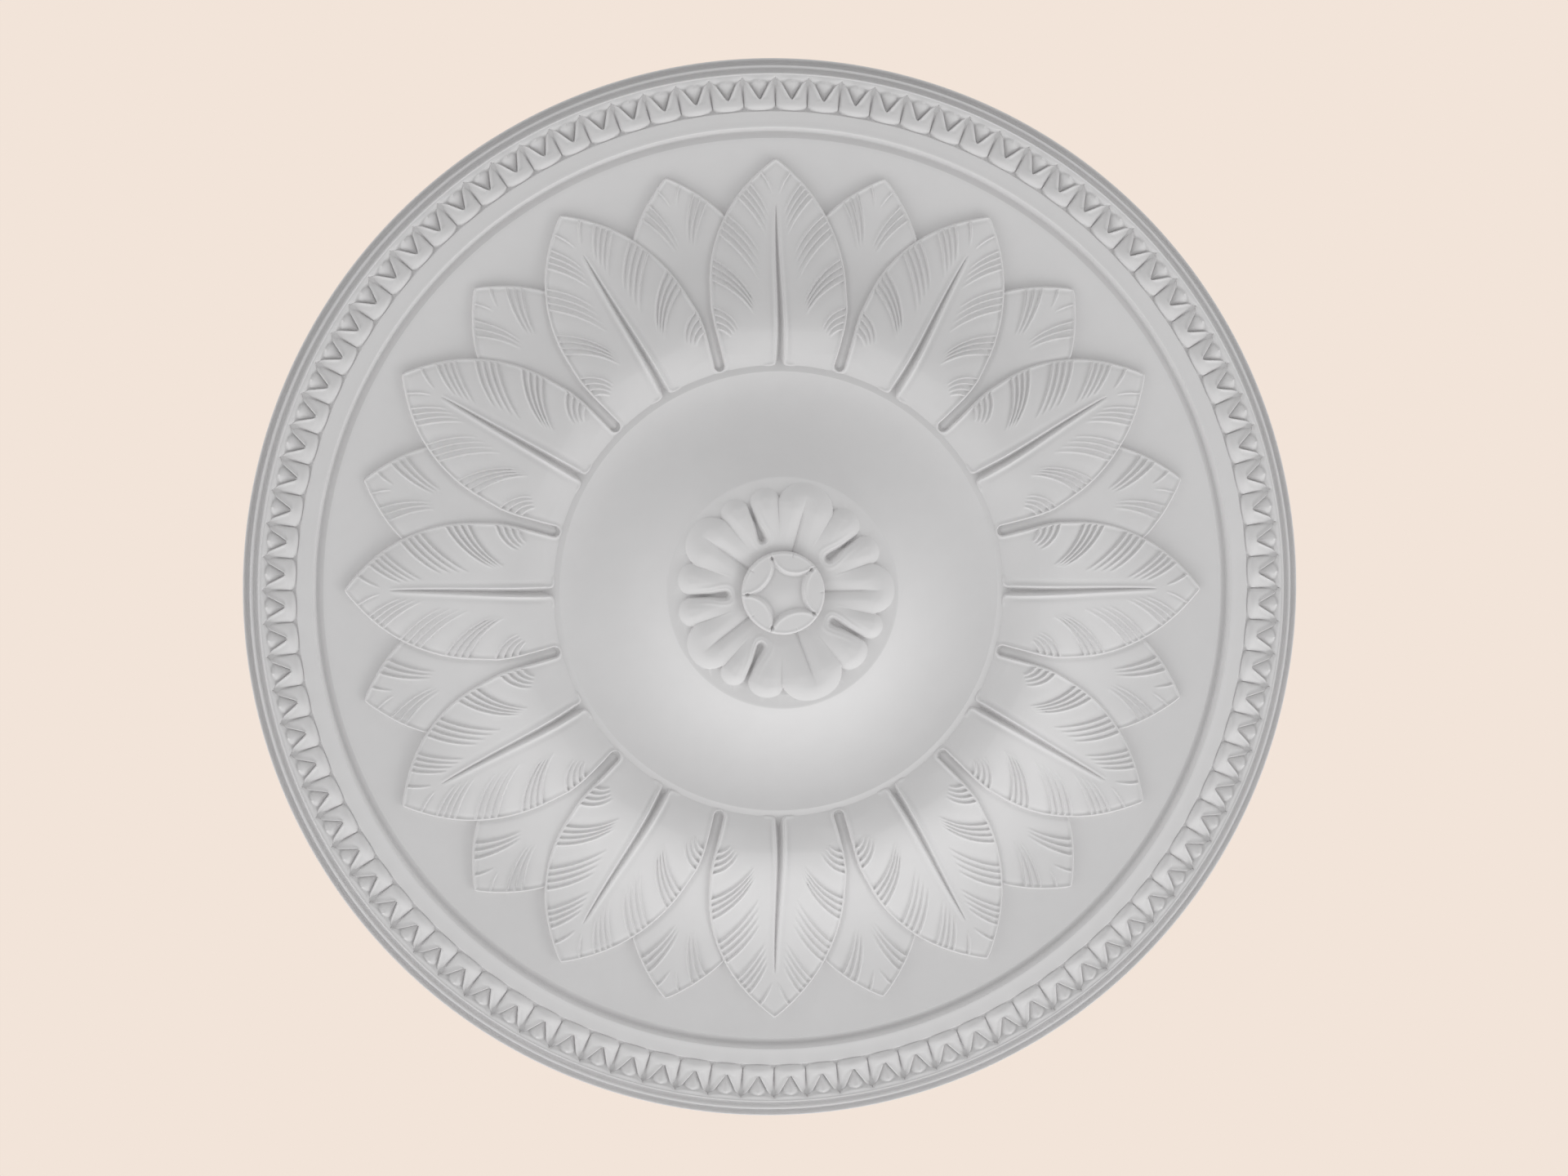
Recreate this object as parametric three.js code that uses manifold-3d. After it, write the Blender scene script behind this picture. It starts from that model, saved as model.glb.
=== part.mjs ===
import * as THREE from 'three';
import { mergeVertices } from 'three/addons/utils/BufferGeometryUtils.js';
import Module from 'manifold-3d';

// A plaster ceiling rose, cast in one piece. Millimetres, +Z up. The flat back lies in z = 0,
// against the ceiling, and the carving hangs below it. A depth is measured down from the ceiling.
// Seen from below with +X to the right, an azimuth is counted clockwise from the top, which is -Y.

// Driving sizes
const RIM_RADIUS = 380;
const RIM_EDGE_DEPTH = 3.5;
const TONGUE_COUNT = 96;
const BAND_OUTER_RADIUS = 368;
const FILLET_OUTER_RADIUS = 341.2;
const FILLET_INNER_RADIUS = 331.2;
const FILLET_DEPTH = 15;
const FIELD_RADIUS = 322.7;
const FIELD_DEPTH = 12;
const DISH_RADIUS = 288;
const DISH_DEPTH = 8.7;
const GROUND_DEPTH = 35;
const LEAF_COUNT = 12;
const LEAF_TIP_RADIUS = 309;
const LEAF_HALF_WIDTH = 49.2;
const CREST_RADIUS = 185;
const CREST_DEPTH = 47.4;
const GROOVE_RADIUS = 161;
const GROOVE_DEPTH = 38.4;
const HOLLOW_EDGE_RADIUS = 155.7;
const HOLLOW_EDGE_DEPTH = 40.8;
const HOLLOW_RADIUS = 141;
const HOLLOW_DEPTH = 38.4;
const DISC_RADIUS = 83;
const DISC_DEPTH = 65;
const PETAL_COUNT = 5;
const PETAL_AZIMUTH = 16.3;
const BIG_LOBE_RADIUS = 80;
const SIDE_LOBE_RADIUS = 75;
const BUTTON_RADIUS = 30;
const BUTTON_DEPTH = 70.5;

// Fineness of the facets
const COARSE = 48;
const BUTTON_SEGMENTS = 30;

const PLASTER = new THREE.MeshStandardMaterial({ color: '#c6c6c6', roughness: 0.85, metalness: 0 });

const radians = THREE.MathUtils.degToRad;
const mix = THREE.MathUtils.lerp;
const smooth = THREE.MathUtils.smoothstep;

function place(radius, azimuth, depth) {
  return new THREE.Vector3(radius * Math.sin(azimuth), -radius * Math.cos(azimuth), -depth);
}

// A ring of the skin: each unit of the ring repeats the same stations, [share of unit, radius, depth].
function ring(units, stations) {
  const points = [];
  for (let unit = 0; unit < units; unit += 1) {
    for (const [share, radius, depth] of stations) {
      const turn = (unit + share) / units;
      points.push({ turn, at: place(radius, turn * 2 * Math.PI, depth) });
    }
  }
  return points;
}

function plainRing(units, radius, depth) {
  return ring(units, [[0, radius, depth]]);
}

// Zips ring after ring into one closed skin, from the middle of the face out over the rim to the
// middle of the back. Rings may have different numbers of points.
function skin(rings, frontDepth, backDepth) {
  const corners = rings.flat().map((point) => point.at);
  const front = corners.push(place(0, 0, frontDepth)) - 1;
  const back = corners.push(place(0, 0, backDepth)) - 1;
  const faces = [];
  const starts = [];
  let total = 0;
  for (const points of rings) {
    starts.push(total);
    total += points.length;
  }
  const index = (row, step) => starts[row] + (step % rings[row].length);
  const turnAt = (row, step) => {
    const count = rings[row].length;
    return rings[row][step % count].turn + Math.floor(step / count);
  };
  for (let row = 0; row + 1 < rings.length; row += 1) {
    let inner = 0;
    let outer = 0;
    while (inner < rings[row].length || outer < rings[row + 1].length) {
      const innerNext = turnAt(row, inner + 1);
      const outerNext = turnAt(row + 1, outer + 1);
      if (innerNext < outerNext) {
        faces.push(index(row, inner), index(row + 1, outer), index(row, inner + 1));
        inner += 1;
      } else {
        faces.push(index(row, inner), index(row + 1, outer), index(row + 1, outer + 1));
        outer += 1;
      }
    }
  }
  const last = rings.length - 1;
  for (let step = 0; step < rings[0].length; step += 1) {
    faces.push(front, index(0, step), index(0, step + 1));
  }
  for (let step = 0; step < rings[last].length; step += 1) {
    faces.push(back, index(last, step + 1), index(last, step));
  }
  return solidGeometry(corners, faces);
}

// Joins closed sections of equal length into one solid with flat ends.
function loft(sections) {
  const size = sections[0].length;
  const corners = sections.flat();
  const faces = [];
  for (let row = 0; row + 1 < sections.length; row += 1) {
    for (let step = 0; step < size; step += 1) {
      const next = (step + 1) % size;
      const near = row * size;
      const far = near + size;
      faces.push(near + step, near + next, far + next);
      faces.push(near + step, far + next, far + step);
    }
  }
  const end = (sections.length - 1) * size;
  for (let step = 1; step + 1 < size; step += 1) {
    faces.push(0, step + 1, step);
    faces.push(end, end + step, end + step + 1);
  }
  return solidGeometry(corners, faces);
}

// Builds the geometry and turns its faces outwards, by the sign of its volume.
function solidGeometry(corners, faces) {
  let volume = 0;
  for (let i = 0; i < faces.length; i += 3) {
    const [a, b, c] = faces.slice(i, i + 3).map((corner) => corners[corner]);
    volume += a.dot(new THREE.Vector3().crossVectors(b, c));
  }
  if (volume < 0) faces.reverse();
  const geometry = new THREE.BufferGeometry().setFromPoints(corners);
  geometry.setIndex(faces);
  return geometry;
}

// The swell of the rose between the tips and the crest of its leaves: 0 at the tips, 1 at the crest.
// The higher the lateness, the longer it stays flat before it plunges.
function swell(share, lateness) {
  return smooth(Math.pow(THREE.MathUtils.clamp(share, 0, 1), lateness), 0, 1);
}

// The plain surface under the leaves. It is dished a little inside the field's arris, and plunges
// under the leaves towards the groove.
function groundDepth(radius) {
  if (radius > DISH_RADIUS) {
    return mix(DISH_DEPTH, FIELD_DEPTH, (radius - DISH_RADIUS) / (FIELD_RADIUS - DISH_RADIUS));
  }
  const share = (DISH_RADIUS - radius) / (DISH_RADIUS - CREST_RADIUS);
  return mix(DISH_DEPTH, GROUND_DEPTH, swell(share, 1.6));
}

// Rim: a round outer moulding and a smaller, sloping one inside it.
function rimRings() {
  return [
    plainRing(TONGUE_COUNT, BAND_OUTER_RADIUS, 12.8),
    plainRing(TONGUE_COUNT, RIM_RADIUS - 5.6, 8.4),
    plainRing(TONGUE_COUNT, RIM_RADIUS - 1.8, 7),
    plainRing(TONGUE_COUNT, RIM_RADIUS, RIM_EDGE_DEPTH),
    plainRing(TONGUE_COUNT, RIM_RADIUS, 0),
  ];
}

// Band of tongues, from the fillet outwards: the round lower ends, the crowns, the notch that splits
// each tongue in two, and the small dart in the notch. A unit starts at the groove beside a tongue.
function bandRings() {
  const groove = 10.2;
  const crown = 14.8;
  return [
    ring(TONGUE_COUNT, [[0, 342.8, groove], [0.22, 342.4, 11.2], [0.78, 342.4, 11.2]]),
    ring(TONGUE_COUNT, [[0, 348, groove], [0.2, 347.6, 13.9], [0.5, 346.6, crown], [0.8, 347.6, 13.9]]),
    ring(TONGUE_COUNT, [[0, 357, 10.6], [0.24, 357.4, crown], [0.5, 352.4, 10.4], [0.76, 357.4, crown]]),
    ring(TONGUE_COUNT, [[0, 367.3, 11.6], [0.12, 366.8, 10.4], [0.5, 366.4, 13.6], [0.88, 366.8, 10.4]]),
  ];
}

// The ground under the leaves, the field, the small fall behind its arris, the steep step and the
// fillet.
function fieldRings() {
  const stations = [CREST_RADIUS - 1, DISH_RADIUS - 27, DISH_RADIUS, LEAF_TIP_RADIUS];
  return [
    ...stations.map((radius) => plainRing(COARSE, radius, groundDepth(radius))),
    plainRing(TONGUE_COUNT, FIELD_RADIUS, FIELD_DEPTH),
    plainRing(TONGUE_COUNT, FIELD_RADIUS + 4.3, FIELD_DEPTH - 2),
    plainRing(TONGUE_COUNT, FILLET_INNER_RADIUS, FILLET_DEPTH),
    plainRing(TONGUE_COUNT, FILLET_OUTER_RADIUS, FILLET_DEPTH - 0.4),
  ];
}

// The plain hollow ring between the leaves and the disc. From its highest line it falls inwards in a
// parabola to the disc's arris, and outwards to a blunt edge beside the groove.
function hollowRings() {
  const rings = [];
  const steps = 4;
  for (let step = 0; step < steps; step += 1) {
    const share = 1 - step / steps;
    const radius = mix(HOLLOW_RADIUS, DISC_RADIUS, share);
    rings.push(plainRing(COARSE, radius, mix(HOLLOW_DEPTH, DISC_DEPTH, share * share)));
  }
  rings.push(plainRing(COARSE, HOLLOW_RADIUS, HOLLOW_DEPTH));
  rings.push(plainRing(COARSE, HOLLOW_EDGE_RADIUS, HOLLOW_EDGE_DEPTH));
  rings.push(plainRing(COARSE, GROOVE_RADIUS, GROOVE_DEPTH));
  return rings;
}

function body() {
  const rings = [...hollowRings(), ...fieldRings(), ...bandRings(), ...rimRings()];
  return skin(rings, DISC_DEPTH + 0.4, 0);
}

// Half the width of a leaf at a share of its length, from 0 at the tip to 1 at the base.
function leafHalfWidth(share) {
  const widest = 0.61;
  if (share < widest) {
    const left = 1 - share / widest;
    return LEAF_HALF_WIDTH * Math.pow(1 - left * left, 0.78);
  }
  const past = (share - widest) / (1 - widest);
  return LEAF_HALF_WIDTH * (1 - 0.217 * Math.pow(past, 1.15));
}

// Depth of a leaf along its midrib: it leaves the tip almost flat, plunges with the swell of the rose
// to its crest, and turns up again towards its base.
function leafDepth(radius, { tipRadius, baseRadius, tipDepth, crestDepth, baseDepth, lateness }) {
  if (radius > CREST_RADIUS) {
    const share = (tipRadius - radius) / (tipRadius - CREST_RADIUS);
    return mix(tipDepth, crestDepth, swell(share, lateness));
  }
  const past = (CREST_RADIUS - radius) / (CREST_RADIUS - baseRadius);
  return mix(crestDepth, baseDepth, Math.pow(past, 1.6));
}

// One leaf along azimuth 0. Its section is a low arch, highest in mid leaf, with a V groove along the
// midrib.
function leaf(form) {
  const { tipRadius, baseRadius, arch, shares, across } = form;
  const sections = shares.map((share) => {
    const radius = mix(tipRadius, baseRadius, share);
    const half = leafHalfWidth(share);
    const middle = leafDepth(radius, form);
    const droop = arch * (0.15 + 0.85 * Math.sin(share * Math.PI));
    const ribDepth = mix(0.6, 2.4, share);
    const top = across.map(([side, rib]) => {
      return new THREE.Vector3(side * half, -radius, droop * side * side + rib * ribDepth - middle);
    });
    const sunk = [1, -1].map((side) => {
      const x = side * half * 0.98;
      return new THREE.Vector3(x, -radius, 3 - groundDepth(Math.hypot(x, radius)));
    });
    return [...top, ...sunk];
  });
  return loft(sections);
}

function frontLeaf() {
  return leaf({
    tipRadius: LEAF_TIP_RADIUS,
    baseRadius: GROOVE_RADIUS + 1,
    tipDepth: 13.4,
    crestDepth: CREST_DEPTH,
    baseDepth: 40.2,
    lateness: 1.55,
    arch: 6,
    shares: [0.012, 0.1, 0.25, 0.45, 0.65, 0.85, 1],
    across: [[-1, 0], [-0.6, 0], [-0.08, 0], [0, 1], [0.08, 0], [0.6, 0], [1, 0]],
  });
}

function backLeaf() {
  return leaf({
    tipRadius: LEAF_TIP_RADIUS - 3,
    baseRadius: GROOVE_RADIUS + 4,
    tipDepth: 12.6,
    crestDepth: CREST_DEPTH - 8.4,
    baseDepth: 36,
    lateness: 1.9,
    arch: 3,
    shares: [0.012, 0.15, 0.42, 0.86, 1],
    across: [[-1, 0], [0, 0], [1, 0]],
  });
}

// Reach of a petal at an angle from its middle: one big lobe between two smaller ones.
function petalReach(degrees) {
  const side = Math.abs(degrees);
  const crease = 16.5;
  if (side < crease) {
    return mix(68, BIG_LOBE_RADIUS, Math.pow(Math.cos(side / crease * Math.PI / 2), 0.6));
  }
  const off = Math.min(Math.abs(side - 25) / 9.5, 1);
  return mix(66, SIDE_LOBE_RADIUS, Math.pow(Math.cos(off * Math.PI / 2), 0.6));
}

// One petal around azimuth 0: it rises from the button to a crest and droops to its lobes.
function petal() {
  const angles = [0, 7, 13, 16.5, 21, 27.5, 34.4];
  const columns = [...angles.slice(1).reverse().map((angle) => -angle), ...angles];
  const sections = columns.map((degrees) => {
    const side = Math.abs(degrees);
    const reach = petalReach(degrees);
    const crease = Math.max(0, 1 - Math.abs(side - 16.5) / 4.5);
    const rib = Math.max(0, 1 - side / 4);
    const hang = side > 30 ? 1.6 : 0;
    const rows = [
      [24, 1.5],
      [44, 5 - crease * 0.8 - rib * 0.8 - hang],
      [60, 5.2 - crease * 2.2 - rib * 0.8 - hang],
      [reach - 1.5, 2.4 - crease * 0.8],
      [reach, -3],
      [24, -3],
    ];
    return rows.map(([radius, rise]) => place(radius, radians(degrees), DISC_DEPTH + rise));
  });
  return loft(sections);
}

// The button: a flat round with a sunken five-pointed star, whose sides bow in.
function buttonDisc() {
  const sunk = DISC_DEPTH - 5;
  const profile = [[0, BUTTON_DEPTH], [BUTTON_RADIUS - 4, BUTTON_DEPTH], [BUTTON_RADIUS - 1.6, BUTTON_DEPTH - 0.3],
    [BUTTON_RADIUS, BUTTON_DEPTH - 2.2], [BUTTON_RADIUS, sunk], [0, sunk]];
  const points = profile.map(([radius, depth]) => new THREE.Vector2(radius, -depth));
  const geometry = new THREE.LatheGeometry(points, BUTTON_SEGMENTS);
  return geometry.rotateX(Math.PI / 2);
}

function starRecess() {
  const tip = BUTTON_RADIUS - 4;
  const waist = 8;
  const shape = new THREE.Shape();
  const step = Math.PI / PETAL_COUNT;
  shape.moveTo(0, tip);
  for (let point = 1; point <= PETAL_COUNT; point += 1) {
    const middle = (2 * point - 1) * step;
    const next = 2 * point * step;
    shape.quadraticCurveTo(Math.sin(middle) * waist, Math.cos(middle) * waist,
      Math.sin(next) * tip, Math.cos(next) * tip);
  }
  const geometry = new THREE.ExtrudeGeometry(shape, { depth: 4, bevelEnabled: false, curveSegments: 4 });
  return geometry.translate(0, 0, -BUTTON_DEPTH - 2);
}

const wasm = await Module();
wasm.setup();

function toSolid(geometry) {
  const bare = new THREE.BufferGeometry();
  bare.setAttribute('position', geometry.getAttribute('position'));
  bare.setIndex(geometry.getIndex());
  const merged = mergeVertices(bare, 1e-4);
  return new wasm.Manifold(new wasm.Mesh({
    numProp: 3,
    vertProperties: new Float32Array(merged.getAttribute('position').array),
    triVerts: new Uint32Array(merged.getIndex().array),
  }));
}

function fromSolid(solid) {
  const mesh = solid.getMesh();
  const geometry = new THREE.BufferGeometry();
  geometry.setAttribute('position', new THREE.BufferAttribute(mesh.vertProperties, 3));
  geometry.setIndex(new THREE.BufferAttribute(mesh.triVerts, 1));
  geometry.computeVertexNormals();
  return geometry;
}

// Copies of a solid around the centre, the first one turned to an azimuth in degrees.
function around(geometry, count, firstAzimuth) {
  const first = toSolid(geometry);
  const copies = [];
  for (let copy = 0; copy < count; copy += 1) {
    copies.push(first.rotate([0, 0, firstAzimuth + copy * 360 / count]));
  }
  return copies;
}

function ceilingRose() {
  const halfPitch = 180 / LEAF_COUNT;
  const starAzimuth = PETAL_AZIMUTH + 180 / PETAL_COUNT;
  const star = toSolid(starRecess()).rotate([0, 0, 180 + starAzimuth]);
  const raised = [
    ...around(backLeaf(), LEAF_COUNT, halfPitch),
    ...around(frontLeaf(), LEAF_COUNT, 0),
    ...around(petal(), PETAL_COUNT, PETAL_AZIMUTH),
    toSolid(buttonDisc()).subtract(star),
  ];
  return raised.reduce((whole, solid) => whole.add(solid), toSolid(body()));
}

const rose = new THREE.Mesh(fromSolid(ceilingRose()), PLASTER);
rose.name = 'ceiling_rose';

const group = new THREE.Group();
group.add(rose);

export default group;
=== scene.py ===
"""A round plaster ceiling rose: rim mouldings, a band of tongues and darts, two rows of veined
leaves, a plain hollow ring and a rosette with a button. Its back lies in z = 0, against the
ceiling, and the carving hangs below it, so it is looked at from underneath.

Sizes are in millimetres. A depth is measured down from the ceiling. An azimuth is counted in
degrees, clockwise from the top as seen from below; the top is -Y and the right is +X."""

import math

import bpy
import numpy as np
from mathutils import Matrix, Vector


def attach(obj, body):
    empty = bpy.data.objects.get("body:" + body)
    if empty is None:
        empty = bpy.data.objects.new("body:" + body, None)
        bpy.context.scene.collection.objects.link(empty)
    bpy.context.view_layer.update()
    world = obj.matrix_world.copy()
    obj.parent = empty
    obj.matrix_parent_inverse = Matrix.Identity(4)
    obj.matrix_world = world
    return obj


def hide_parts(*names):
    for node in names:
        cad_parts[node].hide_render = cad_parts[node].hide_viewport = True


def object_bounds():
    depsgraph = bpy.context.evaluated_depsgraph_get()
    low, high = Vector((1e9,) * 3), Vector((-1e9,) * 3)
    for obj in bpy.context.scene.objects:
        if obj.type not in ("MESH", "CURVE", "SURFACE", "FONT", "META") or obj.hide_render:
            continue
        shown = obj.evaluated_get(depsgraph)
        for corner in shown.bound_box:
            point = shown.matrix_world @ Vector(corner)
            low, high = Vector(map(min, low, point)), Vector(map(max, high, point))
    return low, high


bl_info = {
    "name": "Ceiling Rose",
    "version": (1, 0, 0),
    "blender": (4, 5, 0),
    "location": "3D View > Sidebar > Rose",
    "description": "Models a carved plaster ceiling rose around its solid and sets up a soft stage",
    "category": "Object",
}

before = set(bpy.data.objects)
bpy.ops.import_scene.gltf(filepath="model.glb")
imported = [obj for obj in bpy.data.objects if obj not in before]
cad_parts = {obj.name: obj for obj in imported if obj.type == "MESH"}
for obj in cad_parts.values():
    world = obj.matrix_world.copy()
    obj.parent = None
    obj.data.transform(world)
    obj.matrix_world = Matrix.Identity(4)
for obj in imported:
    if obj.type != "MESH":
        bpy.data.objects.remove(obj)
CAD_BOX = [list(corner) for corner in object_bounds()]
NODE = "ceiling_rose"
BODY = "root"
MM = 0.001
FULL_TURN = 2 * math.pi

# Rim, band and field
RIM_RADIUS = (CAD_BOX[1][0] - CAD_BOX[0][0]) / 2 / MM
BAND_OUTER, BAND_INNER = 367.3, 341.4
FIELD_RADIUS, FIELD_DEPTH = 322.7, 12.0
DISH_RADIUS, DISH_DEPTH = 288.0, 8.7
GROUND_CREST_DEPTH = 35.0
GROUND_RADII = (186, 200, 215, 230, 245, 260, 270, 279, DISH_RADIUS, FIELD_RADIUS - 12)

# Mouldings, as radius and depth from the field outwards
FIELD_TROUGH = [(321.0, 11.95), (322.6, 11.9), (324.5, 10.5), (326.3, 9.1), (326.9, 8.8), (327.4, 8.8)]
FILLET = [(327.9, 9.4), (328.3, 10.7), (328.7, 12.2), (329.1, 13.6), (329.6, 14.7), (330.2, 15.3),
          (331.0, 15.4), (332.2, 15.05), (336, 14.9)]
BAND_BED = [(BAND_INNER - 0.4, 14.6), (BAND_INNER, 14.3), (BAND_INNER + 0.3, 13.2),
            (BAND_INNER + 1.0, 12.0), (354, 9.0), (BAND_OUTER - 1.4, 9.6), (BAND_OUTER - 0.9, 12.4),
            (BAND_OUTER + 0.3, 12.9), (368.1, 13.3), (368.6, 13.2)]
INNER_CHANNEL = [(368.8, 12.6), (369.0, 10.4), (369.5, 8.4), (370.3, 7.4), (371.4, 7.1), (372.1, 7.4),
                 (372.5, 8.4)]
RIM_ARRIS = [(372.8, 9.4), (373.4, 9.8), (374.3, 9.7)]
OUTER_CHANNEL = [(374.7, 8.8), (374.9, 6.4), (375.2, 4.0), (375.7, 2.4), (376.4, 1.7), (377.3, 1.7),
                 (378.0, 2.4), (378.5, 3.8), (379.0, 4.9)]

# Rings scored in the back, for the adhesive to key into
KEY_RINGS = (340, 250, 160, 70)
KEY_HALF_WIDTH, KEY_FLOOR_HALF_WIDTH, KEY_DEPTH = 2, 0.8, 1.8

# Tongues and darts
NOTCH_FOOT, NOTCH_SLANT = 349.8, 1.15
DART_SHOULDER = 362.3
STRIP_DEPTH = 12.9
BAND_WALL_FOOT, BAND_UNDERSIDE = 8.0, 6.0

# Leaves
LEAF_TIP = 307.5
LEAF_HALF_WIDTH = 48.5
LEAF_WIDEST = 90.6
CREST_RADIUS, CREST_DEPTH = 185.0, 47.4
BASE_RADIUS = 159.2
FOOT_CORNER, FOOT_HALF_GAP = 6.0, 0.8
BACK_LEAF_TIP, BACK_LEAF_FOOT = 303.8, 158.5
SLOT_HALF_WIDTH = 3.6
SLOT_HEAD = 165.2
RIB_START = 32
STROKE_ROOM = 9
WALL_FLARE = 0.04

# Hollow ring and disc
EDGE_RADIUS, EDGE_DEPTH = 155.7, 40.8
EDGE_SLOPE = 0.344
SLOPE_RADII = (158, 162, 170)
HOLLOW_RADIUS, HOLLOW_DEPTH = 141.0, 38.4
DISC_RADIUS, DISC_TOP = 81.8, 64.0
RECESS_RADIUS, RECESS_DEPTH = 79.0, 56

# Rosette and button
VEIN_AZIMUTHS = [13.7, 88.4, 160.5, 234.0, 305.0]
GAP_AZIMUTHS = [338.5, 52.9, 119.4, 202.9, 268.0]
STAR_AZIMUTHS = [341.5, 50.0, 123.6, 198.4, 267.3]
PETAL_CREST, PETAL_RISE = 60.0, 6.3
GAP_HEAD, GAP_FLOOR = 41.0, -3.5
GAP_RADII = [38, GAP_HEAD, 45, 49, 53, 58, 64]
GAP_HALF_WIDTHS = [1.9, 2.2, 2.0, 1.2, 0.5, 0.2, 0.0]
ROSETTE_UNDERSIDE = DISC_TOP - 9.5
BUTTON_RADIUS, BUTTON_DEPTH = 29.3, -CAD_BOX[0][2] / MM
SCALLOP_CENTRE, SCALLOP_RADIUS = 35.2, 20.7


# Shaping helpers

def smooth(value):
    value = np.clip(value, 0, 1)
    return value * value * (3 - 2 * value)


def mix(low, high, share):
    return low + (high - low) * share


def quarter_round(inside, radius):
    """Drop of a rounded edge at a distance inside it: the radius at the edge, none further in."""
    left = np.clip(1 - inside / radius, 0, 1)
    return radius * (1 - np.sqrt(1 - left * left))


def swell(share, lateness):
    return smooth(np.clip(share, 0, 1) ** lateness)


def bump(value, centre, width):
    """A soft hump of height one."""
    return np.exp(-((value - centre) / width) ** 2)


def select_only(piece):
    bpy.ops.object.select_all(action="DESELECT")
    piece.select_set(True)
    bpy.context.view_layer.objects.active = piece


def read_points(piece):
    points = np.empty(len(piece.data.vertices) * 3)
    piece.data.vertices.foreach_get("co", points)
    return points.reshape(-1, 3)


def write_points(piece, points):
    piece.data.vertices.foreach_set("co", points.astype(np.float32).ravel())
    piece.data.update()


def write_turned(piece, turn, radius, depth):
    """Writes points by their azimuth in radians, radius and depth."""
    points = np.stack([radius * np.sin(turn), -radius * np.cos(turn), -depth], axis=1)
    write_points(piece, points * MM)


def add_sheet(name, columns, rows):
    """A flat grid, with each vertex's column and row."""
    bpy.ops.object.select_all(action="DESELECT")
    bpy.ops.mesh.primitive_grid_add(x_subdivisions=columns - 1, y_subdivisions=rows - 1, size=1)
    piece = bpy.context.active_object
    piece.name = piece.data.name = name
    points = read_points(piece)
    column = np.rint((points[:, 0] + 0.5) * (columns - 1)).astype(int)
    row = np.rint((points[:, 1] + 0.5) * (rows - 1)).astype(int)
    return piece, column, row


def fill_below(piece, depth):
    """Draws the sheet's border down to a flat underside inside the body and closes it."""
    select_only(piece)
    bpy.ops.object.mode_set(mode="EDIT")
    bpy.ops.mesh.select_mode(type="EDGE")
    bpy.ops.mesh.select_all(action="SELECT")
    bpy.ops.mesh.remove_doubles(threshold=1e-6)
    bpy.ops.mesh.select_all(action="DESELECT")
    bpy.ops.mesh.select_non_manifold()
    bpy.ops.mesh.extrude_edges_move()
    bpy.ops.transform.resize(value=(1, 1, 0), center_override=(0, 0, -depth * MM))
    bpy.ops.mesh.edge_face_add()
    bpy.ops.object.mode_set(mode="OBJECT")


def thin_out(piece, triangles):
    """Takes out vertices where the surface is plain, and keeps them in the carving."""
    piece.data.calc_loop_triangles()
    share = triangles / len(piece.data.loop_triangles)
    if share < 1:
        select_only(piece)
        decimate = piece.modifiers.new("Thin out", "DECIMATE")
        decimate.ratio = share
        bpy.ops.object.modifier_apply(modifier=decimate.name)


def finish_piece(piece, angle=50):
    """Turns the faces outwards, shades edges blunter than the angle smooth, and paints the piece."""
    select_only(piece)
    bpy.ops.object.mode_set(mode="EDIT")
    bpy.ops.mesh.select_all(action="SELECT")
    bpy.ops.mesh.normals_make_consistent(inside=False)
    bpy.ops.object.mode_set(mode="OBJECT")
    bpy.ops.object.shade_smooth_by_angle(angle=math.radians(angle))
    piece.data.materials.append(plaster_material())
    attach(piece, BODY)


def turned_copies(piece, azimuths, stem):
    """Turns a copy with its own mesh to each azimuth, and the piece itself to the last one."""
    copies = []
    for number, azimuth in enumerate(azimuths, 1):
        copy = piece if number == len(azimuths) else piece.copy()
        if copy is not piece:
            copy.data = piece.data.copy()
            bpy.context.collection.objects.link(copy)
        copy.data.transform(Matrix.Rotation(math.radians(azimuth), 4, "Z"))
        copy.name = copy.data.name = f"{stem}_{number:02d}"
        copies.append(copy)
    return copies


# Plaster

def group_with(name, inputs, outputs):
    group = bpy.data.node_groups.new(name, "ShaderNodeTree")
    for label, kind, value in inputs:
        socket = group.interface.new_socket(label, in_out="INPUT", socket_type=kind)
        if value is not None:
            socket.default_value = value
    for label, kind in outputs:
        group.interface.new_socket(label, in_out="OUTPUT", socket_type=kind)
    return group, group.nodes.new("NodeGroupInput"), group.nodes.new("NodeGroupOutput")


def maths(tree, operation, first, second=0.0):
    """A Math node on two sockets or numbers, and its result."""
    node = tree.nodes.new("ShaderNodeMath")
    node.operation = operation
    for socket, value in zip(node.inputs, (first, second)):
        if isinstance(value, (int, float)):
            socket.default_value = value
        else:
            tree.links.new(value, socket)
    return node.outputs[0]


def noise_node(tree, place, scale, detail, roughness=0.5):
    noise = tree.nodes.new("ShaderNodeTexNoise")
    noise.inputs["Scale"].default_value = scale
    noise.inputs["Detail"].default_value = detail
    noise.inputs["Roughness"].default_value = roughness
    tree.links.new(place, noise.inputs["Vector"])
    return noise


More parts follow.
